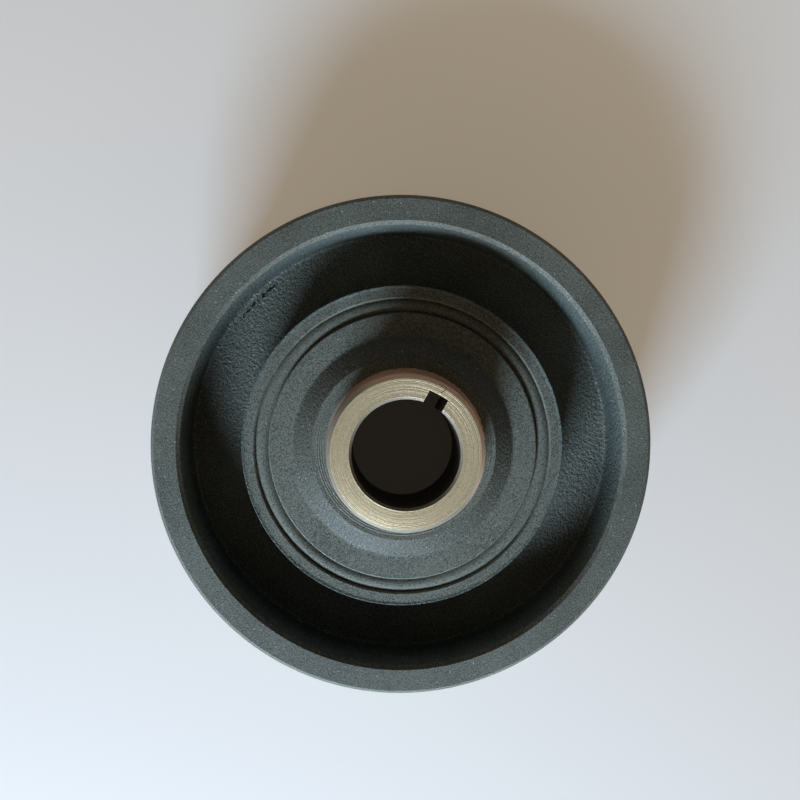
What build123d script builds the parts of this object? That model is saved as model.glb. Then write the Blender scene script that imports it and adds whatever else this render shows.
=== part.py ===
from build123d import *
import os
from math import radians, tan

# Harmonic balancer for a crankshaft: a keyed hub, an elastomer ring bonded around it,
# and a grooved pulley ring bonded around the elastomer. All sizes are in millimetres.
# The origin is on the shaft axis, in the front plane of the pulley's rim. +Z points to
# the rear, along the hub's nose, and the keyway is on the +Y side.

# Crankshaft seat in the hub
bore_diameter = 26.0
bore_length = 20.7
bore_chamfer = 0.65
key_width = 5.0
key_depth = 3.0
relief_width = 4.2
relief_depth = 1.5
relief_length = 6.5
relief_angle = 199.0
bolt_recess_diameter = 39.0

# Hub, from the nose outwards
nose_diameter = 38.0
nose_length = 12.0
nose_chamfer = 1.0
nose_fillet = 1.3
shoulder_width = 4.2
cone_run = 4.9
cone_rise = 3.5
cone_foot_fillet = 1.2
hub_diameter = 68.8
hub_rear_setback = 2.9
hub_front_setback = 4.0
hub_edge_chamfer = 0.3
lightening_groove_width = 6.5
lightening_groove_depth = 8.0
lightening_groove_fillet = 1.5

# Elastomer ring
elastomer_thickness = 3.5
elastomer_setback = 0.9
elastomer_bulge = 0.6

# Pulley ring
pulley_diameter = 127.0
rim_width = 34.0
rim_wall = 7.8
rim_edge_chamfer = 1.0
rim_mouth_chamfer = 0.9
collar_wall = 3.4
collar_rear_setback = 3.4
collar_front_setback = 4.0
collar_edge_chamfer = 0.4
pocket_depth = 13.7
pocket_fillet = 1.0
pocket_flare = 0.5
front_collar_wall = 5.8
front_recess_depth = 12.0
front_recess_fillet = 1.5

# Belt track: V grooves between two flanges, centred on the rim
groove_count = 6
groove_pitch = 3.56
groove_depth = 2.8
groove_angle = 40.0
groove_root_width = 0.8
flange_height = 0.8

# Radii
bore_radius = bore_diameter / 2
bolt_recess_radius = bolt_recess_diameter / 2
nose_radius = nose_diameter / 2
shoulder_radius = nose_radius + shoulder_width
cone_foot_radius = shoulder_radius + cone_run
hub_radius = hub_diameter / 2
collar_inner_radius = hub_radius + elastomer_thickness
collar_outer_radius = collar_inner_radius + collar_wall
pulley_radius = pulley_diameter / 2
pocket_radius = pulley_radius - rim_wall
pocket_mouth_radius = pocket_radius + pocket_flare
front_collar_radius = collar_inner_radius + front_collar_wall
lightening_groove_radius = (bolt_recess_radius + hub_radius) / 2

# Heights above the front plane of the rim
web_height = rim_width - hub_rear_setback
shoulder_height = web_height + cone_rise
nose_height = shoulder_height + nose_length
bolt_seat_height = nose_height - bore_length
collar_rear_height = rim_width - collar_rear_setback
pocket_floor_height = rim_width - pocket_depth
elastomer_rear_height = collar_rear_height - elastomer_setback
elastomer_front_height = collar_front_setback + elastomer_setback
belt_track_width = groove_count * groove_pitch
belt_track_height = rim_width / 2

# How near an edge has to lie to the radius and height that it is picked by
edge_tolerance = 0.001


def ring_edges(part, radius, height):
    """The circular edges that a turned part has at one radius and one height."""
    circles = part.edges().filter_by(GeomType.CIRCLE)
    at_radius = circles.filter_by(lambda edge: abs(edge.radius - radius) < edge_tolerance)
    return at_radius.filter_by(lambda edge: abs(edge.center().Z - height) < edge_tolerance)


# Hub: one casting, turned all over. The nose is the journal for the crankcase seal.
with BuildPart() as hub:
    with BuildSketch(Plane.XZ):
        with BuildLine():
            Polyline(
                (bore_radius, bolt_seat_height),
                (bore_radius, nose_height),
                (nose_radius, nose_height),
                (nose_radius, shoulder_height),
                (shoulder_radius, shoulder_height),
                (cone_foot_radius, web_height),
                (hub_radius, web_height),
                (hub_radius, hub_front_setback),
                (bolt_recess_radius, hub_front_setback),
                (bolt_recess_radius, bolt_seat_height),
                close=True,
            )
        make_face()
    revolve(axis=Axis.Z)
    fillet(ring_edges(hub, nose_radius, shoulder_height), nose_fillet)
    fillet(ring_edges(hub, cone_foot_radius, web_height), cone_foot_fillet)
    chamfer(ring_edges(hub, nose_radius, nose_height), nose_chamfer)
    chamfer(ring_edges(hub, bore_radius, nose_height), bore_chamfer)
    chamfer(ring_edges(hub, bolt_recess_radius, hub_front_setback), bore_chamfer)
    chamfer(ring_edges(hub, hub_radius, web_height), hub_edge_chamfer)
    chamfer(ring_edges(hub, hub_radius, hub_front_setback), hub_edge_chamfer)
    # Lightening groove in the front face
    with BuildSketch(Plane.XZ):
        with Locations((lightening_groove_radius, hub_front_setback)):
            Rectangle(
                lightening_groove_width,
                lightening_groove_depth,
                align=(Align.CENTER, Align.MIN),
            )
    revolve(axis=Axis.Z, mode=Mode.SUBTRACT)
    groove_floor = hub_front_setback + lightening_groove_depth
    groove_wall = lightening_groove_width / 2
    fillet(
        ring_edges(hub, lightening_groove_radius - groove_wall, groove_floor)
        + ring_edges(hub, lightening_groove_radius + groove_wall, groove_floor),
        lightening_groove_fillet,
    )
    # Keyway, broached through the whole bore
    with BuildSketch(Plane.XY.offset(bolt_seat_height)):
        Rectangle(key_width, bore_radius + key_depth, align=(Align.CENTER, Align.MIN))
    extrude(amount=bore_length, mode=Mode.SUBTRACT)
    # Short relief slot at the front end of the bore
    with BuildSketch(Plane.XY.offset(bolt_seat_height)):
        with Locations(Location((0, 0, 0), (0, 0, relief_angle))):
            Rectangle(
                bore_radius + relief_depth,
                relief_width,
                align=(Align.MIN, Align.CENTER),
            )
    extrude(amount=relief_length, mode=Mode.SUBTRACT)
hub.part.label = "hub"
export_step(hub.part, "parts/hub.step")

# Elastomer ring: fills the gap between hub and collar, with both ends bulging
with BuildPart() as elastomer_ring:
    with BuildSketch(Plane.XZ):
        with BuildLine():
            Line(
                (hub_radius, elastomer_rear_height),
                (hub_radius, elastomer_front_height),
            )
            SagittaArc(
                (hub_radius, elastomer_front_height),
                (collar_inner_radius, elastomer_front_height),
                -elastomer_bulge,
            )
            Line(
                (collar_inner_radius, elastomer_front_height),
                (collar_inner_radius, elastomer_rear_height),
            )
            SagittaArc(
                (collar_inner_radius, elastomer_rear_height),
                (hub_radius, elastomer_rear_height),
                -elastomer_bulge,
            )
        make_face()
    revolve(axis=Axis.Z)
elastomer_ring.part.label = "elastomer_ring"
export_step(elastomer_ring.part, "parts/elastomer_ring.step")

# Pulley ring: collar, web and rim in one casting, with a deep pocket in the rear whose
# outer wall flares a little towards its mouth
with BuildPart() as pulley:
    with BuildSketch(Plane.XZ):
        with BuildLine():
            Polyline(
                (collar_inner_radius, collar_rear_height),
                (collar_outer_radius, collar_rear_height),
                (collar_outer_radius, pocket_floor_height),
                (pocket_radius, pocket_floor_height),
                (pocket_mouth_radius, rim_width),
                (pulley_radius, rim_width),
                (pulley_radius, 0),
                (pocket_radius, 0),
                (pocket_radius, front_recess_depth),
                (front_collar_radius, front_recess_depth),
                (front_collar_radius, collar_front_setback),
                (collar_inner_radius, collar_front_setback),
                close=True,
            )
        make_face()
    revolve(axis=Axis.Z)
    fillet(
        ring_edges(pulley, collar_outer_radius, pocket_floor_height)
        + ring_edges(pulley, pocket_radius, pocket_floor_height),
        pocket_fillet,
    )
    fillet(
        ring_edges(pulley, pocket_radius, front_recess_depth)
        + ring_edges(pulley, front_collar_radius, front_recess_depth),
        front_recess_fillet,
    )
    chamfer(
        ring_edges(pulley, pulley_radius, rim_width) + ring_edges(pulley, pulley_radius, 0),
        rim_edge_chamfer,
    )
    chamfer(
        ring_edges(pulley, pocket_mouth_radius, rim_width) + ring_edges(pulley, pocket_radius, 0),
        rim_mouth_chamfer,
    )
    chamfer(
        ring_edges(pulley, collar_inner_radius, collar_rear_height)
        + ring_edges(pulley, collar_inner_radius, collar_front_setback),
        collar_edge_chamfer,
    )
    # Belt track below the flanges, then its V grooves
    with BuildSketch(Plane.XZ):
        with Locations((pulley_radius, belt_track_height)):
            Rectangle(2 * flange_height, belt_track_width)
        root_radius = pulley_radius - flange_height - groove_depth
        half_root = groove_root_width / 2
        half_mouth = half_root + groove_depth * tan(radians(groove_angle / 2))
        with Locations((root_radius, belt_track_height)):
            with GridLocations(0, groove_pitch, 1, groove_count):
                Polygon(
                    (0, -half_root),
                    (groove_depth, -half_mouth),
                    (groove_depth, half_mouth),
                    (0, half_root),
                    align=None,
                )
    revolve(axis=Axis.Z, mode=Mode.SUBTRACT)
pulley.part.label = "pulley"
export_step(pulley.part, "parts/pulley.step")

for piece in (hub.part, elastomer_ring.part, pulley.part):
    print(piece.label, "volume", round(piece.volume / 1000, 1), "cm3")
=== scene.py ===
# %% [markdown]
# # A harmonic balancer, rear side up
# A harmonic balancer is bolted to the front end of a crankshaft. A keyed hub carries a heavy
# pulley ring, and a thin ring of elastomer between the two soaks up the shaft's twisting.
# Everything here is turned on a lathe, so the lesson is about turned parts: one Geometry
# Nodes tree revolves a drawn profile, and each of the three pieces is a profile fed to it.
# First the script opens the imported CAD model, which gives the real sizes and places.

# %% Open the frame
from math import atan2, cos, pi, radians, sin, tan

import bpy
from mathutils import Matrix, Vector


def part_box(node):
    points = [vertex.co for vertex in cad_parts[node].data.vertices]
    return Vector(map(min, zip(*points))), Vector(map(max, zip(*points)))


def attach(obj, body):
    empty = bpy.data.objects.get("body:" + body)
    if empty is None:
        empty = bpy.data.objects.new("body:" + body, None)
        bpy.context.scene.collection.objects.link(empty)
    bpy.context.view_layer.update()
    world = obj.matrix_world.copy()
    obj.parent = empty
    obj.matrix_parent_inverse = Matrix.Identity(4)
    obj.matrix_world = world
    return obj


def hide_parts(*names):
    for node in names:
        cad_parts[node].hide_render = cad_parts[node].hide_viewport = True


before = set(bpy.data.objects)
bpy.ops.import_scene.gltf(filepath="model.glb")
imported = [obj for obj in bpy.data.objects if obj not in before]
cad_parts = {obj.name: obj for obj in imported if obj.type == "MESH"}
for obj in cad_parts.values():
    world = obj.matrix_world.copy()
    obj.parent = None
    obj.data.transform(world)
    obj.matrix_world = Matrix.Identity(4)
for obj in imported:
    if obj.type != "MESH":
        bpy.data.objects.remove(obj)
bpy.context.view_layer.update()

# %% [markdown]
# ## Sizes
# The outer sizes are read from the CAD nodes, so that every profile starts from the solid
# that it stands for. The smaller ones are named here, in metres, as the drawing gives them.

# %% Sizes read from the frame
mm = 0.001

pulley_low, pulley_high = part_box("pulley")
hub_low, hub_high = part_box("hub")
ring_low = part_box("elastomer_ring")[0]
pulley_radius = -pulley_low.x
rim_top = pulley_high.z
hub_radius = -hub_low.x
nose_top = hub_high.z
front_setback = hub_low.z
collar_inner_radius = -ring_low.x
print("pulley", round(2 * pulley_radius / mm, 2), "mm across, rim", round(rim_top / mm, 2), "mm wide")

# %% Sizes that the drawing gives
bore_radius = 13.0 * mm
bore_length = 20.7 * mm
bore_chamfer = 0.65 * mm
key_width = 5.0 * mm
key_depth = 3.0 * mm
relief_width = 4.2 * mm
relief_depth = 1.5 * mm
relief_length = 6.5 * mm
relief_angle = radians(199)
bolt_recess_radius = 19.5 * mm

nose_radius = 19.0 * mm
nose_length = 12.0 * mm
nose_chamfer = 1.0 * mm
nose_fillet = 1.3 * mm
shoulder_radius = nose_radius + 4.2 * mm
cone_foot_radius = shoulder_radius + 4.9 * mm
cone_rise = 3.5 * mm
cone_foot_fillet = 1.2 * mm
hub_chamfer = 0.3 * mm
groove_width = 6.5 * mm
groove_depth = 8.0 * mm
groove_fillet = 1.5 * mm

bead_setback = 0.9 * mm
bead_rise = 0.6 * mm

collar_outer_radius = collar_inner_radius + 3.4 * mm
collar_top = rim_top - 3.4 * mm
collar_chamfer = 0.4 * mm
pocket_radius = pulley_radius - 7.8 * mm
pocket_floor = rim_top - 13.7 * mm
pocket_mouth_radius = pocket_radius + 0.5 * mm
pocket_fillet = 1.0 * mm
mouth_chamfer = 0.9 * mm
rim_chamfer = 1.0 * mm
front_collar_radius = collar_inner_radius + 5.8 * mm
front_recess = 12.0 * mm
front_fillet = 1.5 * mm

shoulder_top = nose_top - nose_length
web_top = shoulder_top - cone_rise
bolt_seat = nose_top - bore_length
key_reach = bore_radius + key_depth
relief_reach = bore_radius + relief_depth

belt_groove_count = 6
belt_groove_pitch = 3.56 * mm
belt_groove_depth = 2.8 * mm
belt_groove_root = 0.8 * mm
belt_groove_half_angle = radians(20)
belt_flange = 0.8 * mm
print("nose top", round(nose_top / mm, 2), "mm, web", round(web_top / mm, 2), "mm")

# %% [markdown]
# ## One class for node maths
# Node trees are graphs, but most of what they say is arithmetic. This class wraps one
# socket and lets Python's operators add the Math nodes, so that a mask reads as a formula.
# It serves shader trees and geometry trees alike, because both hold the same Math node.


# %% Wire: a socket that Python can calculate with
def socket_of(sockets, key):
    """The socket with that index or identifier."""
    if isinstance(key, int):
        return sockets[key]
    return next(socket for socket in sockets if socket.identifier == key)


class Wire:
    """One output socket of a node tree, usable in Python expressions."""

    def __init__(self, socket):
        self.socket = socket

    def node(self, kind, settings, values, output=0):
        """Adds a node of that kind to the same tree, with its settings and its inputs."""
        tree = self.socket.id_data
        made = tree.nodes.new(kind)
        for name, value in settings.items():
            setattr(made, name, value)
        for key, value in values.items():
            target = socket_of(made.inputs, key)
            if isinstance(value, Wire):
                tree.links.new(value.socket, target)
            else:
                target.default_value = value
        return Wire(socket_of(made.outputs, output))

    def math(self, operation, *values):
        return self.node("ShaderNodeMath", {"operation": operation}, dict(enumerate(values)))

    def __add__(self, other):
        return self.math("ADD", self, other)

    def __radd__(self, other):
        return self.math("ADD", other, self)

    def __sub__(self, other):
        return self.math("SUBTRACT", self, other)

    def __rsub__(self, other):
        return self.math("SUBTRACT", other, self)

    def __mul__(self, other):
        return self.math("MULTIPLY", self, other)

    def __truediv__(self, other):
        return self.math("DIVIDE", self, other)

    def __pow__(self, other):
        return self.math("POWER", self, other)

    def __abs__(self):
        return self.math("ABSOLUTE", self)

    def ramp(self, low, high):
        """0 below low, 1 above high and a soft step between, on any value."""
        return self.node(
            "ShaderNodeMapRange",
            {"interpolation_type": "SMOOTHSTEP"},
            {"Value": self, "From Min": low, "From Max": high},
        )

    def blend(self, first, second):
        """This mask between two colours: the first where it is 0, the second where it is 1."""
        return self.node(
            "ShaderNodeMix",
            {"data_type": "RGBA"},
            {"Factor_Float": self, "A_Color": first, "B_Color": second},
            output="Result_Color",
        )


# %% [markdown]
# ## A profile, drawn corner by corner
# A lathe tool never leaves a perfectly sharp edge, and paint rounds it further. So each
# corner of a profile carries its own rounding radius, and the helper below puts a short arc
# there. It also adds a point close to each end of the arc and more along the straight runs.
# Those extra points keep smooth shading flat on the flat faces and curved only at the edges.

# %% Rounded corners
arc_steps = 4
guard_distance = 0.12 * mm
longest_run = 4.0 * mm
soft_edge = 0.16 * mm
crisp_edge = 0.07 * mm
largest_arc_share = 0.45


def rounded_corner(before, corner, after, rounding):
    """The points of the arc that replaces one corner of a profile."""
    back = (before - corner).normalized()
    ahead = (after - corner).normalized()
    half_turn = back.angle(ahead) / 2
    reach = rounding / tan(half_turn)
    shorter_run = min((before - corner).length, (after - corner).length)
    reach = min(reach, largest_arc_share * shorter_run)
    radius = reach * tan(half_turn)
    centre = corner + (back + ahead).normalized() * (radius / sin(half_turn))
    first = corner + back * reach - centre
    last = corner + ahead * reach - centre
    sweep = first.angle_signed(last)
    turns = [sweep * step / arc_steps for step in range(arc_steps + 1)]
    return [centre + Matrix.Rotation(-turn, 2) @ first for turn in turns]


def run_points(start, end):
    """Points between two ends: one guard near each end, and an even spread between them."""
    length = (end - start).length
    if length < 3 * guard_distance:
        return []
    along = (end - start) / length
    inner = length - 2 * guard_distance
    parts = max(1, round(inner / longest_run))
    return [start + along * (guard_distance + inner * part / parts) for part in range(parts + 1)]


def closed_profile(corners):
    """A closed ring of profile points from corners given as (radius, height, rounding)."""
    places = [Vector((radius, height)) for radius, height, rounding in corners]
    arcs = []
    for index, (radius, height, rounding) in enumerate(corners):
        before = places[index - 1]
        after = places[(index + 1) % len(places)]
        arcs.append(rounded_corner(before, places[index], after, rounding))
    points = []
    for index, arc in enumerate(arcs):
        points += arc
        points += run_points(arc[-1], arcs[(index + 1) % len(arcs)][0])
    return points + points[:1]


# %% [markdown]
# ## The lathe
# The tree takes a profile as a chain of points and a number of steps around the axis. It
# makes a grid with one row for each profile point and one column for each step. Sample
# Index looks up the profile point of a row, and cosine and sine swing it round the axis.
# Merge by Distance closes the seam where the last column meets the first. The Screw
# modifier could turn a profile too, but a tree can go on to cut the hub's slots.

# %% The lathe tree
def start_tree(name, sockets):
    """A new geometry tree with a Geometry input and output, and one named input for each size."""
    tree = bpy.data.node_groups.new(name, "GeometryNodeTree")
    tree.interface.new_socket("Geometry", in_out="INPUT", socket_type="NodeSocketGeometry")
    for socket_name, socket_type in sockets:
        tree.interface.new_socket(socket_name, in_out="INPUT", socket_type=socket_type)
    tree.interface.new_socket("Geometry", in_out="OUTPUT", socket_type="NodeSocketGeometry")
    group_input = tree.nodes.new("NodeGroupInput")
    inputs = {socket.name: Wire(socket) for socket in group_input.outputs if socket.name}
    return tree, inputs


def finish_tree(tree, geometry, material):
    """Ends a tree: instances made real, the finish set, and the result sent out."""
    real = geometry.node("GeometryNodeRealizeInstances", {}, {"Geometry": geometry})
    painted = real.node("GeometryNodeSetMaterial", {}, {"Geometry": real, "Material": material})
    group_output = tree.nodes.new("NodeGroupOutput")
    tree.links.new(painted.socket, group_output.inputs[0])


seam_gap = 0.001 * mm
turning_steps = 300
sharp_turn = radians(32)


def revolve(profile, steps):
    """Nodes that turn a chain of profile points into a closed surface round the Z axis."""
    count = profile.node(
        "GeometryNodeAttributeDomainSize", {}, {"Geometry": profile}, output="Point Count"
    )
    grid = profile.node(
        "GeometryNodeMeshGrid",
        {},
        {"Vertices X": steps + 1, "Vertices Y": count},
        output="Mesh",
    )
    index = profile.node("GeometryNodeInputIndex", {}, {})
    column = (index / count).math("FLOOR", index / count)
    row = index - column * count
    place = profile.node("GeometryNodeInputPosition", {}, {})
    sampled = profile.node(
        "GeometryNodeSampleIndex",
        {"data_type": "FLOAT_VECTOR"},
        {"Geometry": profile, "Value": place, "Index": row},
    )
    radius = sampled.node("ShaderNodeSeparateXYZ", {}, {"Vector": sampled}, output="X")
    height = sampled.node("ShaderNodeSeparateXYZ", {}, {"Vector": sampled}, output="Z")
    angle = column / steps * (2 * pi)
    across = radius * angle.math("COSINE", angle)
    along = radius * angle.math("SINE", angle)
    turned = radius.node("ShaderNodeCombineXYZ", {}, {"X": across, "Y": along, "Z": height})
    swung = grid.node("GeometryNodeSetPosition", {}, {"Geometry": grid, "Position": turned})
    sealed = swung.node("GeometryNodeMergeByDistance", {}, {"Geometry": swung, "Distance": seam_gap})
    return sealed.node("GeometryNodeFlipFaces", {}, {"Mesh": sealed})


def shade_by_angle(mesh):
    """Nodes that shade a surface smooth, except across edges that turn sharply."""
    smooth = mesh.node("GeometryNodeSetShadeSmooth", {}, {"Geometry": mesh})
    turn = mesh.node("GeometryNodeInputMeshEdgeAngle", {}, {}, output="Unsigned Angle")
    sharp = turn.math("GREATER_THAN", turn, sharp_turn)
    return smooth.node(
        "GeometryNodeStoreNamedAttribute",
        {"data_type": "BOOLEAN", "domain": "EDGE"},
        {"Geometry": smooth, "Name": "sharp_edge", "Value": sharp},
    )


lathe, lathe_in = start_tree("lathe", [("Steps", "NodeSocketInt"), ("Finish", "NodeSocketMaterial")])
turned_part = revolve(lathe_in["Geometry"], lathe_in["Steps"])
finish_tree(lathe, shade_by_angle(turned_part), lathe_in["Finish"])
print("lathe tree has", len(lathe.nodes), "nodes")

# %% [markdown]
# ## From tree to plain mesh
# The modifier is only a means: once it has run, its result becomes an ordinary mesh with
# no modifier, at the origin, and that mesh rides on the part's body.


# %% Turn a profile into a finished piece
def run_tree(name, points, tree, values):
    """Runs a geometry tree on a chain of profile points and gives the plain result as an object."""
    chain = bpy.data.meshes.new(name + "_profile")
    links = [(index, index + 1) for index in range(len(points) - 1)]
    chain.from_pydata([(point.x, 0, point.y) for point in points], links, [])
    maker = bpy.data.objects.new(name + "_maker", chain)
    bpy.context.scene.collection.objects.link(maker)
    modifier = maker.modifiers.new("maker", "NODES")
    modifier.node_group = tree
    for item in tree.interface.items_tree:
        if item.in_out == "INPUT" and item.name in values:
            modifier[item.identifier] = values[item.name]
    evaluated = maker.evaluated_get(bpy.context.evaluated_depsgraph_get())
    mesh = bpy.data.meshes.new_from_object(evaluated)
    mesh.name = name
    piece = bpy.data.objects.new(name, mesh)
    bpy.context.scene.collection.objects.link(piece)
    maker.modifiers.remove(modifier)
    bpy.data.objects.remove(maker)
    mesh.calc_loop_triangles()
    print(name, len(points), "profile points,", len(mesh.loop_triangles), "triangles")
    return piece


def stand_for(piece, node):
    """The finished piece rides on the part's only body and stands for one CAD node."""
    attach(piece, "root")
    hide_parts(node)


# %% [markdown]
# ## Finishes
# The whole assembly was sprayed matte black after bonding, elastomer included, with only
# the nose masked. The paint is thin and grainy: it dries with a fine speckle that catches
# the light, and pale dust sits on it here and there, with paler specks that are partly dust
# and partly painted glints. Deep in the pocket and on the cone round the nose's foot it is
# darkened as painted shade, the pocket's walls carry a blue-green tint as a painted
# reflection of the window, and the skin of the casting shows through it as low lumps. The
# bare steel of the nose keeps the lathe's concentric marks, and a brown film of old oil.
# On the side away from the window the film is painted paler, and the chamfer browner, as
# painted warm light reflected onto them. The bore's rusty wall is painted nearly black, as
# painted shade.
# Images wrapped round the meshes could show all this, but they need unwrapping. Noise in
# Object coordinates, in metres, needs none and keeps the grain's real size on every piece.

# %% Start a finish
class Finish:
    """A new material: its shader, a place on the piece, and that place's coordinates as wires."""

    def __init__(self, name, gloss):
        self.material = bpy.data.materials.new(name)
        self.material.use_nodes = True
        nodes = self.material.node_tree.nodes
        self.shader = nodes["Principled BSDF"]
        self.shader.inputs["Specular IOR Level"].default_value = gloss
        self.place = Wire(nodes.new("ShaderNodeTexCoord").outputs["Object"])
        self.x, self.y, self.z = [
            self.place.node("ShaderNodeSeparateXYZ", {}, {"Vector": self.place}, output=axis)
            for axis in "XYZ"
        ]
        self.radius = self.distance_from(0.0, 0.0)

    def distance_from(self, x, y):
        """Distance from a vertical line through x and y."""
        return ((self.x - x) ** 2 + (self.y - y) ** 2) ** 0.5

    def angle(self):
        """Angle round the axis, in radians, from -pi to pi."""
        return self.y.math("ARCTAN2", self.y, self.x)

    def noise(self, grain, detail=2.0, roughness=0.5, place=None):
        """Smooth noise from 0 to 1 whose features are about one grain across."""
        return self.place.node(
            "ShaderNodeTexNoise",
            {},
            {
                "Vector": place or self.place,
                "Scale": 1 / grain,
                "Detail": detail,
                "Roughness": roughness,
            },
            output="Fac",
        )

    def feed(self, name, value):
        """Links a wire to one of the shader's sockets."""
        self.material.node_tree.links.new(value.socket, self.shader.inputs[name])

    def relief(self, height):
        """Bumps the surface by that height in metres."""
        bump = height.node("ShaderNodeBump", {}, {"Strength": 1.0, "Distance": 1.0, "Height": height})
        self.feed("Normal", bump)


# %% Paint colours and grain
paint_dark = (0.050, 0.051, 0.041, 1)
paint_light = (0.200, 0.203, 0.162, 1)
# Blue-green light tone of the pocket's walls, a painted reflection of the window.
paint_light_painted_reflection = (0.168, 0.210, 0.190, 1)
# Near-black colour of the painted shade in the pocket and on the cone.
painted_shade_colour = (0.010, 0.011, 0.010, 1)
paint_gloss = 0.3
paint_roughness = 0.56
roughness_spread = 0.25
paint_grain = 0.26 * mm
paint_fleck = 0.55 * mm
paint_cloud = 14 * mm
grain_contrast = 2.5
fleck_contrast = 0.5
cloud_contrast = 0.5
inner_speckle = 1.0
grain_relief = 0.11 * mm
fleck_relief = 0.05 * mm

dust_and_glint_pale = (0.34, 0.34, 0.29, 1)
dust_grain = 0.60 * mm
dust_edge = (0.78, 0.84)
# Paler specks, partly dust and partly painted glints of the grainy paint.
speck_grain = 0.34 * mm
speck_edge = (0.60, 0.78)
speck_strength = 0.45

casting_grain = 0.80 * mm
casting_relief = 0.40 * mm
casting_on_cone = 0.6
# Painted shade: how far the pocket's walls, the pocket's floor and the cone round the nose's foot are
# darkened.
mouth_wall_painted_shade = 0.18
deep_wall_painted_shade = 0.50
pocket_floor_painted_shade = 0.12
middle_lightening = 0.12
bead_lightening = 0.10
cone_painted_shade = 0.42
cone_smoothing = 0.06


# %% Paint
def pocket_masks(finish):
    """Where the pocket shows its cast skin, and which of that is its walls and its floor."""
    below_mouth = finish.z.ramp(rim_top - mouth_chamfer, rim_top - 2 * mouth_chamfer)
    above_floor = finish.z.ramp(pocket_floor + 0.1 * mm, pocket_floor + 0.4 * mm)
    above_web = finish.z.ramp(pocket_floor - 0.4 * mm, pocket_floor - 0.2 * mm)
    outside_collar = finish.radius.ramp(collar_outer_radius - 1 * mm, collar_outer_radius)
    inside_rim = finish.radius.ramp(pocket_mouth_radius + 2 * mm, pocket_mouth_radius + 1 * mm)
    cast_skin = below_mouth * outside_collar * inside_rim
    walls = cast_skin * above_floor
    base = (1 - above_floor) * above_web * outside_collar * inside_rim
    return cast_skin, walls, base


def paint_layer(finish, lightening=0.0, on_cone=0.0):
    """Colour, roughness and relief in metres of the sprayed paint, given where the cone is."""
    cast_skin, walls, base = pocket_masks(finish)
    grain = finish.noise(paint_grain, detail=3.0, roughness=0.65)
    fleck = finish.noise(paint_fleck, detail=1.0)
    cloud = finish.noise(paint_cloud)
    inner = finish.radius.ramp(pocket_mouth_radius + 0.5 * mm, pocket_mouth_radius)
    middle = finish.radius.ramp(pocket_radius, collar_outer_radius)
    speckle = (grain - 0.5) * grain_contrast + (fleck - 0.5) * fleck_contrast
    speckle = speckle * (1 + inner * inner_speckle)
    tone = speckle + (cloud - 0.5) * cloud_contrast + 0.5
    # The pocket's floor is darkened here as painted shade.
    tone = tone + middle * middle_lightening + lightening - base * pocket_floor_painted_shade

    # Painted shade: the pocket's walls darken from the mouth downwards, and the cone round the nose's
    # foot darkens too, towards a near-black colour.
    depth = finish.z.ramp(rim_top - 2 * mouth_chamfer, pocket_floor + 3 * mm)
    wall_painted_shade = walls * (mouth_wall_painted_shade + depth * (deep_wall_painted_shade - mouth_wall_painted_shade))
    # The pocket's walls take a blue-green tint as a painted reflection of the window.
    light = walls.blend(paint_light, paint_light_painted_reflection)
    colour = tone.ramp(0.0, 1.0).blend(paint_dark, light)
    colour = (wall_painted_shade + on_cone * cone_painted_shade).blend(colour, painted_shade_colour)
    dust = finish.noise(dust_grain, detail=0.0).ramp(*dust_edge)
    # These specks are partly dust and partly painted glints.
    dust_and_glint_specks = finish.noise(speck_grain, detail=1.0).ramp(*speck_edge) * speck_strength
    colour = dust.math("MAXIMUM", dust, dust_and_glint_specks).blend(colour, dust_and_glint_pale)

    rough = paint_roughness + (0.5 - grain) * roughness_spread - on_cone * cone_smoothing
    lumps = finish.noise(casting_grain, detail=2.0) * (cast_skin + on_cone * casting_on_cone)
    relief = grain * grain_relief + fleck * fleck_relief + lumps * casting_relief
    return colour, rough, relief


def painted_finish(name):
    """Paint and nothing else, a little lighter on the bead."""
    finish = Finish(name, paint_gloss)
    colour, rough, relief = paint_layer(finish, bead_lightening)
    finish.feed("Base Color", colour)
    finish.feed("Roughness", rough)
    finish.relief(relief)
    return finish.material


painted_elastomer = painted_finish("painted_elastomer")
print("paint has", len(painted_elastomer.node_tree.nodes), "nodes")

# %% [markdown]
# The casting of the pulley ring has one flaw: a broken line of small pits in the floor of
# the pocket, near its outer wall. They could be carved into the mesh, but at this size a
# mask that darkens the paint to black, as painted shade in the pits, and bumps it inwards
# is enough.

# %% Painted iron with its line of pits
line_core = 0.4
pit_radius = 53.9 * mm
pit_half_width = 0.42 * mm
pit_depth = 0.25 * mm
pit_wander = 1.6 * mm
pit_wander_grain = 1.3 * mm
pit_gap_grain = 1.1 * mm
pit_start = radians(156)
pit_end = radians(172)
pit_fade = 0.02
pit_reach = (1.2 * mm, 0.8 * mm)
pit_gaps = (0.42, 0.52)
# Black of the pits, painted shade inside them.
pit_painted_shade = (0.004, 0.004, 0.004, 1)


def line_mask(offset, half_width):
    """A line with soft edges, from the distance to its middle."""
    return abs(offset).ramp(half_width, line_core * half_width)


def pitted_finish(name):
    """Paint, with a broken line of pits along part of a circle in the pocket."""
    finish = Finish(name, paint_gloss)
    colour, rough, relief = paint_layer(finish)
    angle = finish.angle()
    wander = (finish.noise(pit_wander_grain, detail=4.0, roughness=0.7) - 0.5) * pit_wander
    on_line = line_mask(finish.radius - pit_radius + wander, pit_half_width)
    on_arc = angle.ramp(pit_start, pit_start + pit_fade) * angle.ramp(pit_end, pit_end - pit_fade)
    on_floor = abs(finish.z - pocket_floor).ramp(*pit_reach)
    broken = finish.noise(pit_gap_grain, detail=1.0).ramp(*pit_gaps)
    pits = on_line * on_arc * on_floor * broken
    # The pits are painted black as painted shade.
    finish.feed("Base Color", pits.blend(colour, pit_painted_shade))
    finish.feed("Roughness", rough)
    finish.relief(relief - pits * pit_depth)
    return finish.material


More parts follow.
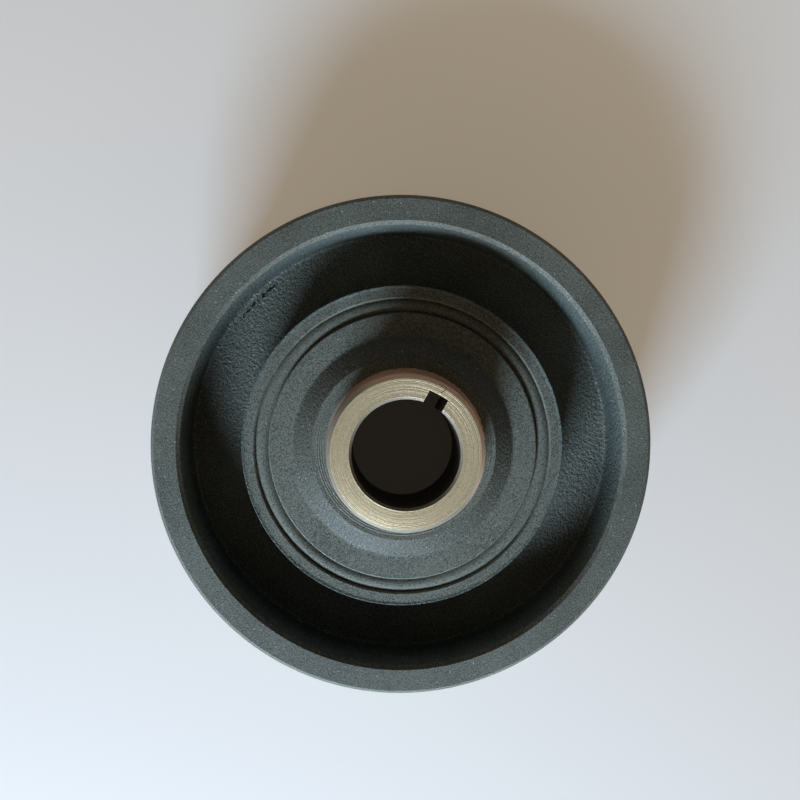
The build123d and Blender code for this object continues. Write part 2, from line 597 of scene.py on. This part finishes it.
painted_iron = pitted_finish("painted_iron")
print("pitted paint has", len(painted_iron.node_tree.nodes), "nodes")

# %% [markdown]
# The nose was masked by a ring that sat a little to one side, so the bare steel runs a
# little way onto the shoulder and its border is ragged. The end face was wiped clean and
# keeps the streaks of facing, and the journal below it wears a brown film. A scribed line
# runs outwards from the keyway. Paint and steel could be two materials on two sets of
# faces, but only a mask inside one material gives the ragged border.

# %% Steel colours and marks
bare_steel = (0.97, 0.745, 0.445, 1)
dull_steel = (0.245, 0.215, 0.165, 1)
# The brown film is painted paler on the side away from the window, as painted warm light reflected
# onto it; the chamfer is painted brown only on that side, as a painted warm reflection.
brown_dark = (0.25, 0.190, 0.145, 1)
brown_in_painted_light = (0.93, 0.65, 0.47, 1)
painted_light_azimuth = radians(74)
# The bore's wall: a rusty brown, painted nearly black as painted shade in the deep hole.
bore_rust_painted_shade = (0.050, 0.036, 0.028, 1)
turning_pitch = 0.16 * mm
band_width = 0.7 * mm
mottle_grain = 0.40 * mm
steel_pit_grain = 0.34 * mm
steel_pit_edge = (0.36, 0.27)
turning_relief = 0.115 * mm
mottle_relief = 0.04 * mm
steel_pit_depth = 0.03 * mm
steel_roughness = 0.44
marks_in_film = 0.9
bands_in_film = 0.4
mottle_in_film = 1.6
face_wiping = 1.07
dullness = 0.15
pit_dulling = 0.8
brown_cover = 0.85
brown_patchiness = 0.5
chamfer_painted_reflection = 0.9
clean_range = (-0.3, 1.3)
painted_light_range = (-0.6, 0.8)
chamfer_range = (-0.1, 0.4)
metallic_share = 0.10
face_metallic_share = 0.50
scribe_half_width = 0.16 * mm
scribe_depth = 0.05 * mm
scribe_lean = 0.56
scribe_start = key_reach + 0.6 * mm
scribe_dark = (0.10, 0.085, 0.06, 1)


# %% Bare steel
def scribed_line(finish):
    """Where the line lies that was scribed outwards from the keyway."""
    offset = finish.x - (finish.y - scribe_start) * scribe_lean
    past_start = finish.y.ramp(scribe_start, scribe_start + 0.2 * mm)
    return line_mask(offset, scribe_half_width) * past_start


def steel_layer(finish):
    """Colour, metallic share, roughness and relief in metres of the turned steel."""
    radius, height = finish.radius, finish.z
    section = radius.node("ShaderNodeCombineXYZ", {}, {"X": radius, "Y": height})
    marks = finish.noise(turning_pitch, place=section)
    bands = finish.noise(band_width, place=section)
    mottle = finish.noise(mottle_grain, detail=4.0, roughness=0.75)
    pits = finish.noise(steel_pit_grain, detail=1.0).ramp(*steel_pit_edge)
    film = (marks - 0.5) * marks_in_film + (bands - 0.5) * bands_in_film
    film = film + (mottle - 0.5) * mottle_in_film

    on_face = height.ramp(nose_top - 0.10 * mm, nose_top - 0.04 * mm)
    below_chamfer = height.ramp(nose_top - bore_chamfer, nose_top - 1.2 * bore_chamfer)
    in_bore = radius.ramp(key_reach + 0.2 * mm, key_reach + 0.1 * mm) * below_chamfer
    on_journal = height.ramp(nose_top - 0.8 * mm, nose_top - 1.1 * mm) * (1 - in_bore)
    # How far round towards the side away from the window, which gets the painted warm light.
    side = (finish.x * cos(painted_light_azimuth) + finish.y * sin(painted_light_azimuth)) / radius
    outside = radius.ramp(nose_radius - 1.3 * mm, nose_radius - 1.1 * mm)
    on_chamfer = outside * (1 - on_face) * (1 - on_journal) * side.ramp(*chamfer_range)
    scribed = scribed_line(finish) * on_face

    clean = on_face * face_wiping - dullness + film - pits * pit_dulling
    colour = clean.ramp(*clean_range).blend(dull_steel, bare_steel)
    brown_film = (brown_cover + film * brown_patchiness).ramp(0.0, 1.0)
    # Painted warm light: the film grows paler, and the chamfer browner, towards the side away from
    # the window.
    brown = (on_journal + on_chamfer * chamfer_painted_reflection) * brown_film
    brown_lit_one_side = side.ramp(*painted_light_range).blend(brown_dark, brown_in_painted_light)
    colour = brown.blend(colour, brown_lit_one_side)
    colour = scribed.blend(colour, scribe_dark)
    # The bore's wall is painted nearly black as painted shade.
    colour = in_bore.blend(colour, bore_rust_painted_shade)

    metallic = (on_face * face_metallic_share + metallic_share) * (1 - on_journal)
    rough = steel_roughness + (mottle - 0.5) * roughness_spread
    relief = marks * turning_relief + mottle * mottle_relief
    relief = relief - pits * steel_pit_depth - scribed * scribe_depth
    return colour, metallic, rough, relief


# %% Hub finish
mask_radius = nose_radius + 1.25 * mm
mask_x = 0.31 * mm
mask_y = 0.17 * mm
mask_ragged = 1.1 * mm
mask_ragged_grain = 1.3 * mm
mask_edge = 0.10 * mm


def cone_mask(finish):
    """Where the cone between the shoulder and the web lies."""
    inner_bound = finish.radius.ramp(shoulder_radius - 0.3 * mm, shoulder_radius + 0.3 * mm)
    outer_bound = finish.radius.ramp(cone_foot_radius + 0.9 * mm, cone_foot_radius - 0.5 * mm)
    return inner_bound * outer_bound * finish.z.ramp(web_top - 1 * mm, web_top)


def bare_mask(finish):
    """Where the paint was kept off: inside the masking ring, down to the bolt seat."""
    ragged = finish.noise(mask_ragged_grain, detail=4.0, roughness=0.7)
    distance = finish.distance_from(mask_x, mask_y) + (ragged - 0.5) * mask_ragged
    above_seat = finish.z.ramp(bolt_seat - 0.2 * mm, bolt_seat + 0.2 * mm)
    return distance.ramp(mask_radius, mask_radius - mask_edge) * above_seat


def hub_finish(name):
    """Paint everywhere except the masked nose and the bore, which are bare turned steel."""
    finish = Finish(name, paint_gloss)
    bare = bare_mask(finish)
    paint_colour, paint_rough, paint_relief = paint_layer(finish, on_cone=cone_mask(finish))
    steel_colour, metallic, steel_rough, steel_relief = steel_layer(finish)
    finish.feed("Base Color", bare.blend(paint_colour, steel_colour))
    finish.feed("Metallic", bare * metallic)
    finish.feed("Roughness", bare * steel_rough + (1 - bare) * paint_rough)
    finish.relief(bare * steel_relief + (1 - bare) * paint_relief)
    return finish.material


turned_hub = hub_finish("turned_and_painted_hub")
print("finishes:", painted_iron.name, painted_elastomer.name, turned_hub.name)

# %% [markdown]
# ## The pulley ring
# Collar, web and rim are one casting. Seen from the rear it has a deep pocket, and its
# outside carries six V grooves between two low flanges. They could be cut into a plain
# ring one by one, but they follow a rule, so a loop adds their corners to the profile.

# %% Pulley ring
def belt_track_corners():
    """The corners of the belt track, from the rear flange to the front one."""
    centre = rim_top / 2
    half_track = belt_groove_count * belt_groove_pitch / 2
    land_radius = pulley_radius - belt_flange
    root_radius = land_radius - belt_groove_depth
    half_root = belt_groove_root / 2
    half_mouth = half_root + belt_groove_depth * tan(belt_groove_half_angle)
    corners = [
        (pulley_radius, centre + half_track, soft_edge),
        (land_radius, centre + half_track, crisp_edge),
    ]
    for groove in range(belt_groove_count):
        middle = centre + half_track - (groove + 0.5) * belt_groove_pitch
        corners += [
            (land_radius, middle + half_mouth, soft_edge),
            (root_radius, middle + half_root, soft_edge),
            (root_radius, middle - half_root, soft_edge),
            (land_radius, middle - half_mouth, soft_edge),
        ]
    corners += [
        (land_radius, centre - half_track, crisp_edge),
        (pulley_radius, centre - half_track, soft_edge),
    ]
    return corners


pulley_corners = [
    (collar_inner_radius, collar_top - collar_chamfer, crisp_edge),
    (collar_inner_radius + collar_chamfer, collar_top, crisp_edge),
    (collar_outer_radius, collar_top, soft_edge),
    (collar_outer_radius, pocket_floor, pocket_fillet),
    (pocket_radius, pocket_floor, pocket_fillet),
    (pocket_mouth_radius, rim_top - mouth_chamfer, soft_edge),
    (pocket_mouth_radius + mouth_chamfer, rim_top, crisp_edge),
    (pulley_radius - rim_chamfer, rim_top, crisp_edge),
    (pulley_radius, rim_top - rim_chamfer, soft_edge),
    *belt_track_corners(),
    (pulley_radius, rim_chamfer, soft_edge),
    (pulley_radius - rim_chamfer, 0.0, crisp_edge),
    (pocket_radius + mouth_chamfer, 0.0, crisp_edge),
    (pocket_radius, mouth_chamfer, soft_edge),
    (pocket_radius, front_recess, front_fillet),
    (front_collar_radius, front_recess, front_fillet),
    (front_collar_radius, front_setback, soft_edge),
    (collar_inner_radius + collar_chamfer, front_setback, crisp_edge),
    (collar_inner_radius, front_setback + collar_chamfer, crisp_edge),
]
pulley_values = {"Steps": turning_steps, "Finish": painted_iron}
pulley = run_tree("pulley_ring", closed_profile(pulley_corners), lathe, pulley_values)
stand_for(pulley, "pulley")

# %% [markdown]
# ## The elastomer ring
# Squeezed in between hub and collar, the elastomer swells a little at both ends, so each
# end is a low bead. A torus would show the same bead from the rear, but the ring reaches
# through to the front, so its profile is two straight flanks and two arcs.

# %% Elastomer ring
bead_steps = 14


def bead(start, end, rise):
    """Points of a shallow arc over the chord from start to end, rising to its left."""
    chord = end - start
    half = chord.length / 2
    radius = (half * half + rise * rise) / (2 * rise)
    left = Vector((-chord.y, chord.x)).normalized()
    centre = (start + end) / 2 - left * (radius - rise)
    reach = atan2(half, radius - rise)
    along = chord.normalized()
    turns = [reach * (2 * step / bead_steps - 1) for step in range(bead_steps + 1)]
    return [centre + along * (radius * sin(turn)) + left * (radius * cos(turn)) for turn in turns]


bead_top = collar_top - bead_setback
bead_bottom = front_setback + bead_setback
rear_ends = [Vector((radius, bead_top)) for radius in (hub_radius, collar_inner_radius)]
front_ends = [Vector((radius, bead_bottom)) for radius in (collar_inner_radius, hub_radius)]
rear_bead = bead(*rear_ends, bead_rise)
front_bead = bead(*front_ends, bead_rise)
ring_points = rear_bead + run_points(rear_bead[-1], front_bead[0])
ring_points += front_bead + run_points(front_bead[-1], rear_bead[0]) + rear_bead[:1]
elastomer_values = {"Steps": turning_steps, "Finish": painted_elastomer}
elastomer = run_tree("elastomer_bead", ring_points, lathe, elastomer_values)
stand_for(elastomer, "elastomer_ring")

# %% [markdown]
# ## The hub
# The hub is the same kind of turned part, with two cuts that a lathe can't make: the
# keyway along the bore, and a short relief slot at the bore's far end. Their walls could
# be drawn by hand, but a cut follows the sizes, so the hub's tree is the lathe followed by
# Mesh Boolean, with two boxes as cutters. The tool also left fine ridges on the shoulder
# beside the nose, which a loop adds to the profile.

# %% Hub tree
hub_sockets = [
    ("Steps", "NodeSocketInt"),
    ("Finish", "NodeSocketMaterial"),
    ("Keyway", "NodeSocketVector"),
    ("Keyway Place", "NodeSocketVector"),
    ("Keyway Turn", "NodeSocketFloat"),
    ("Relief", "NodeSocketVector"),
    ("Relief Place", "NodeSocketVector"),
    ("Relief Turn", "NodeSocketFloat"),
]
hub_tree, hub_in = start_tree("lathe_and_broach", hub_sockets)


def broach(body, slot):
    """Cuts a slot's box out of a turned body: its size, its place and its turn about Z."""
    box = body.node("GeometryNodeMeshCube", {}, {"Size": hub_in[slot]}, output="Mesh")
    spin = body.node("ShaderNodeCombineXYZ", {}, {"Z": hub_in[slot + " Turn"]})
    moved = box.node(
        "GeometryNodeTransform", {}, {"Geometry": box, "Translation": hub_in[slot + " Place"]}
    )
    turned = moved.node("GeometryNodeTransform", {}, {"Geometry": moved, "Rotation": spin})
    return body.node(
        "GeometryNodeMeshBoolean",
        {"operation": "DIFFERENCE", "solver": "EXACT"},
        {"Mesh 1": body, "Mesh 2": turned},
        output="Mesh",
    )


turned_hub_body = revolve(hub_in["Geometry"], hub_in["Steps"])
keyed = broach(turned_hub_body, "Keyway")
relieved = broach(keyed, "Relief")
finish_tree(hub_tree, shade_by_angle(relieved), hub_in["Finish"])
print("hub tree has", len(hub_tree.nodes), "nodes")

# %% Ridges on the shoulder
ridge_count = 4
ridge_pitch = 0.56 * mm
ridge_depth = 0.10 * mm
ridge_margin = 0.7 * mm
shoulder_edge = 0.9 * mm


def shoulder_ridges():
    """The corners of the tool marks on the shoulder, from the inside out."""
    start = shoulder_radius - ridge_margin - ridge_count * ridge_pitch
    corners = []
    for ridge in range(ridge_count):
        crest = start + ridge * ridge_pitch
        corners.append((crest, shoulder_top, crisp_edge))
        corners.append((crest + ridge_pitch / 2, shoulder_top - ridge_depth, crisp_edge))
    return corners


# %% Hub
groove_middle = (bolt_recess_radius + hub_radius) / 2
hub_corners = [
    (bore_radius, bolt_seat, crisp_edge),
    (bore_radius, nose_top - bore_chamfer, crisp_edge),
    (bore_radius + bore_chamfer, nose_top, crisp_edge),
    (nose_radius - nose_chamfer, nose_top, crisp_edge),
    (nose_radius, nose_top - nose_chamfer, crisp_edge),
    (nose_radius, shoulder_top, nose_fillet),
    *shoulder_ridges(),
    (shoulder_radius, shoulder_top, shoulder_edge),
    (cone_foot_radius, web_top, cone_foot_fillet),
    (hub_radius - hub_chamfer, web_top, crisp_edge),
    (hub_radius, web_top - hub_chamfer, crisp_edge),
    (hub_radius, front_setback + hub_chamfer, crisp_edge),
    (hub_radius - hub_chamfer, front_setback, crisp_edge),
    (groove_middle + groove_width / 2, front_setback, soft_edge),
    (groove_middle + groove_width / 2, front_setback + groove_depth, groove_fillet),
    (groove_middle - groove_width / 2, front_setback + groove_depth, groove_fillet),
    (groove_middle - groove_width / 2, front_setback, soft_edge),
    (bolt_recess_radius + bore_chamfer, front_setback, crisp_edge),
    (bolt_recess_radius, front_setback + bore_chamfer, crisp_edge),
    (bolt_recess_radius, bolt_seat, crisp_edge),
]
cut_through = 4 * mm
hub_values = {
    "Steps": turning_steps,
    "Finish": turned_hub,
    "Keyway": (key_width, key_reach, bore_length + cut_through),
    "Keyway Place": (0, key_reach / 2, nose_top - bore_length / 2),
    "Keyway Turn": 0.0,
    "Relief": (relief_reach, relief_width, relief_length + cut_through),
    "Relief Place": (relief_reach / 2, 0, bolt_seat + (relief_length - cut_through) / 2),
    "Relief Turn": relief_angle,
}
hub = run_tree("hub_casting", closed_profile(hub_corners), hub_tree, hub_values)
stand_for(hub, "hub")

# %% [markdown]
# ## The floor
# The part lies on a plain pale floor. Its material adds a little warm brightness that only
# camera, glossy and transmission rays see. That lifts the part's shadow, as a floor in a
# bright room looks, and it fades out under the part. Another lamp would lift the shadow
# too, but it would wash out the part. Farther off, on the side away from the window, the
# floor also sheds that warm light on the part, and those rays don't see this.

# %% Floor
keyway_turn = radians(29)
window_azimuth = radians(249) + keyway_turn
floor_size = 3.0
floor_mesh = bpy.data.meshes.new("floor")
half = floor_size / 2
floor_corners = [(-half, -half, 0), (half, -half, 0), (half, half, 0), (-half, half, 0)]
floor_mesh.from_pydata(floor_corners, [], [(0, 1, 2, 3)])
floor = bpy.data.objects.new("floor", floor_mesh)
bpy.context.scene.collection.objects.link(floor)
print("floor", floor_size, "m square")

# %% Floor finish
floor_pale = (0.80, 0.80, 0.80, 1)
floor_roughness = 0.9
floor_gloss = 0.2
lift_warm = (0.93, 0.76, 0.56, 1)
lift_beside_part = 0.27
lift_under_part = 0.012
shed_from = 80 * mm
shed_fully = 200 * mm


def looking_rays(nodes):
    """1 for camera, glossy and transmission rays, and 0 for those that only carry light."""
    light_path = nodes.new("ShaderNodeLightPath")
    mask = Wire(light_path.outputs["Is Camera Ray"])
    for ray in ("Is Glossy Ray", "Is Transmission Ray"):
        mask = mask.math("MAXIMUM", mask, Wire(light_path.outputs[ray]))
    return mask


floor_finish = Finish("pale_floor", floor_gloss)
floor_mesh.materials.append(floor_finish.material)
floor_finish.shader.inputs["Base Color"].default_value = floor_pale
floor_finish.shader.inputs["Roughness"].default_value = floor_roughness
floor_nodes = floor_finish.material.node_tree.nodes
seen = looking_rays(floor_nodes)
beside_part = floor_finish.radius.ramp(pulley_radius - 20 * mm, pulley_radius + 10 * mm)
from_window = floor_finish.x * -cos(window_azimuth) + floor_finish.y * -sin(window_azimuth)
behind = from_window.ramp(shed_from, shed_fully)
lift = floor_nodes.new("ShaderNodeEmission")
lift.inputs["Color"].default_value = lift_warm
seen_share = seen * (beside_part * lift_beside_part + lift_under_part)
shed_share = (1 - seen) * behind
lifted = seen.node(
    "ShaderNodeMixShader",
    {},
    {
        0: seen_share + shed_share,
        1: Wire(floor_finish.shader.outputs[0]),
        2: Wire(lift.outputs[0]),
    },
)
surface = floor_nodes["Material Output"].inputs["Surface"]
floor_finish.material.node_tree.links.new(lifted.socket, surface)
print("floor finish has", len(floor_nodes), "nodes")

# %% [markdown]
# ## Light
# One soft window stands low on one side. The room around it glows warmly on that side and
# is dim overhead and behind, so the deep pocket and the bore stay dark. Low down the room
# looks pale all round to camera, glossy and transmission rays, and it sheds less light from
# behind. An image of a room could light the part as well, but these few ramps over the
# direction can be read and changed.

# %% Window
window_height = radians(23.5)
window_distance = 0.76
window_width = 0.29
window_tall = 0.17
window_power = 11.8
window_colour = (0.59, 0.78, 1.0)
aim = Vector((0, 0, rim_top / 2))
level = cos(window_height)
toward_window = Vector(
    (cos(window_azimuth) * level, sin(window_azimuth) * level, sin(window_height))
)
window_light = bpy.data.lights.new("window", "AREA")
window_light.shape = "RECTANGLE"
window_light.size = window_width
window_light.size_y = window_tall
window_light.energy = window_power
window_light.color = window_colour
window = bpy.data.objects.new("window", window_light)
window.location = aim + toward_window * window_distance
window.rotation_euler = toward_window.to_track_quat("Z", "Y").to_euler()
bpy.context.scene.collection.objects.link(window)
print("window at", [round(value, 3) for value in window.location])

# %% Room
room_dark = (0.034, 0.030, 0.024, 1)
room_bright = (1.75, 1.47, 1.12, 1)
room_pale = (0.75, 0.72, 0.67, 1)
room_faint = (0.24, 0.235, 0.23, 1)
backdrop_pale = (0.62, 0.61, 0.59, 1)
glow_sideways = (0.20, 0.95)
glow_upward = (0.70, 0.25)
shed_sideways = (-0.8, 0.4)
low_upward = (0.28, 0.14)
backdrop_upward = (0.42, 0.32)
world = bpy.data.worlds.new("room")
bpy.context.scene.world = world
world.use_nodes = True
background = world.node_tree.nodes["Background"]
direction = Wire(world.node_tree.nodes.new("ShaderNodeTexCoord").outputs["Generated"])
upward = direction.node("ShaderNodeSeparateXYZ", {}, {"Vector": direction}, output="Z")
window_side = direction.node(
    "ShaderNodeVectorMath",
    {"operation": "DOT_PRODUCT"},
    {0: direction, 1: toward_window},
    output="Value",
)
glow = window_side.ramp(*glow_sideways) * upward.ramp(*glow_upward)
looked_at = looking_rays(world.node_tree.nodes)
low_shed = window_side.ramp(*shed_sideways).blend(room_faint, room_pale)
low_colour = looked_at.blend(low_shed, backdrop_pale)
low_band = upward.ramp(*low_upward)
low_band = low_band.math("MAXIMUM", low_band, upward.ramp(*backdrop_upward) * looked_at)
room_colour = low_band.blend(glow.blend(room_dark, room_bright), low_colour)
world.node_tree.links.new(room_colour.socket, background.inputs["Color"])
print("room has", len(world.node_tree.nodes), "nodes")

# %% [markdown]
# ## Camera
# The camera looks almost straight down the axis from close by, leaning a few degrees, so
# the nose stands off-centre and one side of the pocket shows more than the other. Its place
# and lean are given as if the keyway pointed up the picture, and a turn about Z then brings
# the keyway to the upper right.

# %% Camera
camera_place = Vector((-9.19 * mm, 22.54 * mm, 234.9 * mm))
lean_x = radians(-2.94)
lean_y = radians(-2.33)
lean = Matrix.Rotation(lean_x, 4, "X") @ Matrix.Rotation(lean_y, 4, "Y")
camera_data = bpy.data.cameras.new("camera")
camera_data.sensor_width = 36.0
camera_data.lens = 36.0
camera_data.clip_start = 0.01
camera = bpy.data.objects.new("camera", camera_data)
camera.matrix_world = Matrix.Rotation(keyway_turn, 4, "Z") @ Matrix.Translation(camera_place) @ lean
bpy.context.scene.collection.objects.link(camera)
bpy.context.scene.camera = camera
bpy.context.scene.view_settings.view_transform = "Standard"
print("camera at", [round(value, 4) for value in camera.matrix_world.translation])
